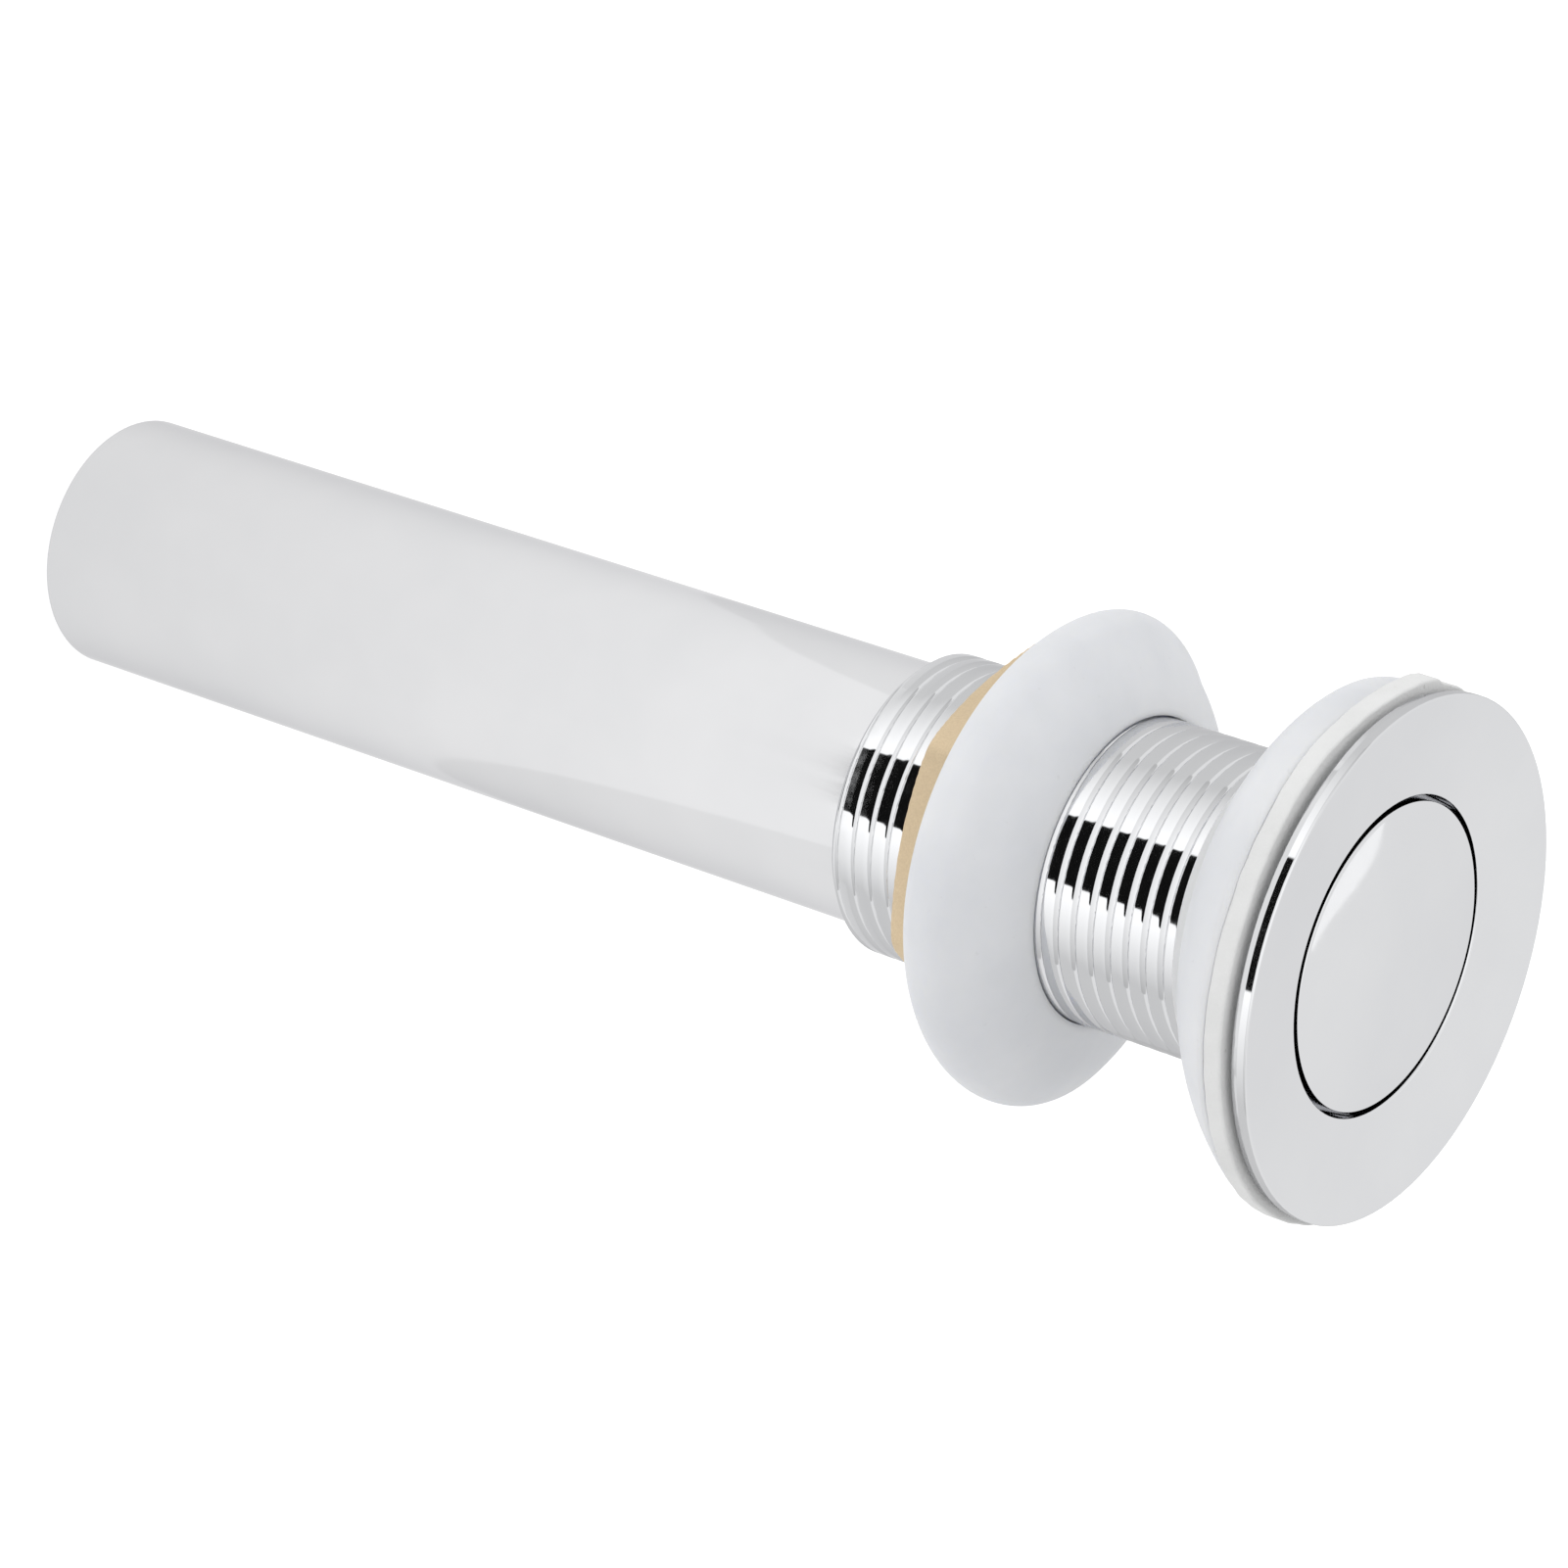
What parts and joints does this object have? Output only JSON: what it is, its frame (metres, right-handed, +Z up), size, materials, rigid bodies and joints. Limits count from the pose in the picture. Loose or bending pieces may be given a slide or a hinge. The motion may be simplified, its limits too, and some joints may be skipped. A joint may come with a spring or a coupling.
{
  "type": "pop up basin waste",
  "caption": "Flanged chrome drain body with a long plain tailpiece, a click push plug, a tapered gasket, a domed backing washer and a hexagon lock nut that clamps it in a basin.",
  "frame": {"origin": "On the drain's axis, in the plane under the flange where the gaskets seat.", "axes": "+Z runs up the axis, out of the basin through the plug; -Z runs down the tailpiece to the trap. X and Y are square to the axis; one arm of the bridge points along +Y."},
  "size_m": [0.063, 0.063, 0.1909],
  "materials": {
    "chrome_brass": "polished chrome plate on brass",
    "chrome_tube": "polished chrome plate on drawn tube",
    "white_silicone": "translucent white silicone, satin",
    "white_foam": "soft white foam, matte",
    "bare_brass": "machined bare brass",
    "black_rubber": "moulded rubber, matte",
    "white_plastic": "moulded acetal, satin",
    "stainless_steel": "drawn stainless steel"
  },
  "bodies": {
    "drain": {"drain_body": "chrome_brass", "tailpiece": "chrome_tube", "tailpiece_seal": "black_rubber", "foam_gasket": "white_foam", "flange_gasket": "white_silicone", "cartridge_barrel": "bare_brass", "cartridge_gland": "bare_brass", "stem_seal": "black_rubber", "cartridge_base": "bare_brass", "bridge": "bare_brass", "return_spring": "stainless_steel"},
    "plug": {"plug_cap": "chrome_brass", "plug_seal": "black_rubber", "plug_stem": "stainless_steel", "push_crown": "white_plastic", "index_rotor": "white_plastic"},
    "washer": {"backing_washer": "white_silicone"},
    "nut": {"lock_nut": "bare_brass"}
  },
  "joints": [
    {"name": "plug_slide", "type": "slide", "parent": "drain", "child": "plug", "axis": [0, 0, 1], "range_m": [-0.0025, 0.0095], "deforming": ["return_spring"]},
    {"name": "washer_slide", "type": "slide", "parent": "drain", "child": "washer", "axis": [0, 0, 1], "range_m": [-0.0096, 0.0143]},
    {"name": "nut_spin", "type": "hinge", "parent": "washer", "child": "nut", "pos_m": [0, 0, -0.0485], "axis": [0, 0, 1], "range_deg": [-1440, 2160]}
  ],
  "couplings": [
    {"joint": "washer_slide", "follows": "nut_spin", "m_per_rad": 0.0003772}
  ]
}
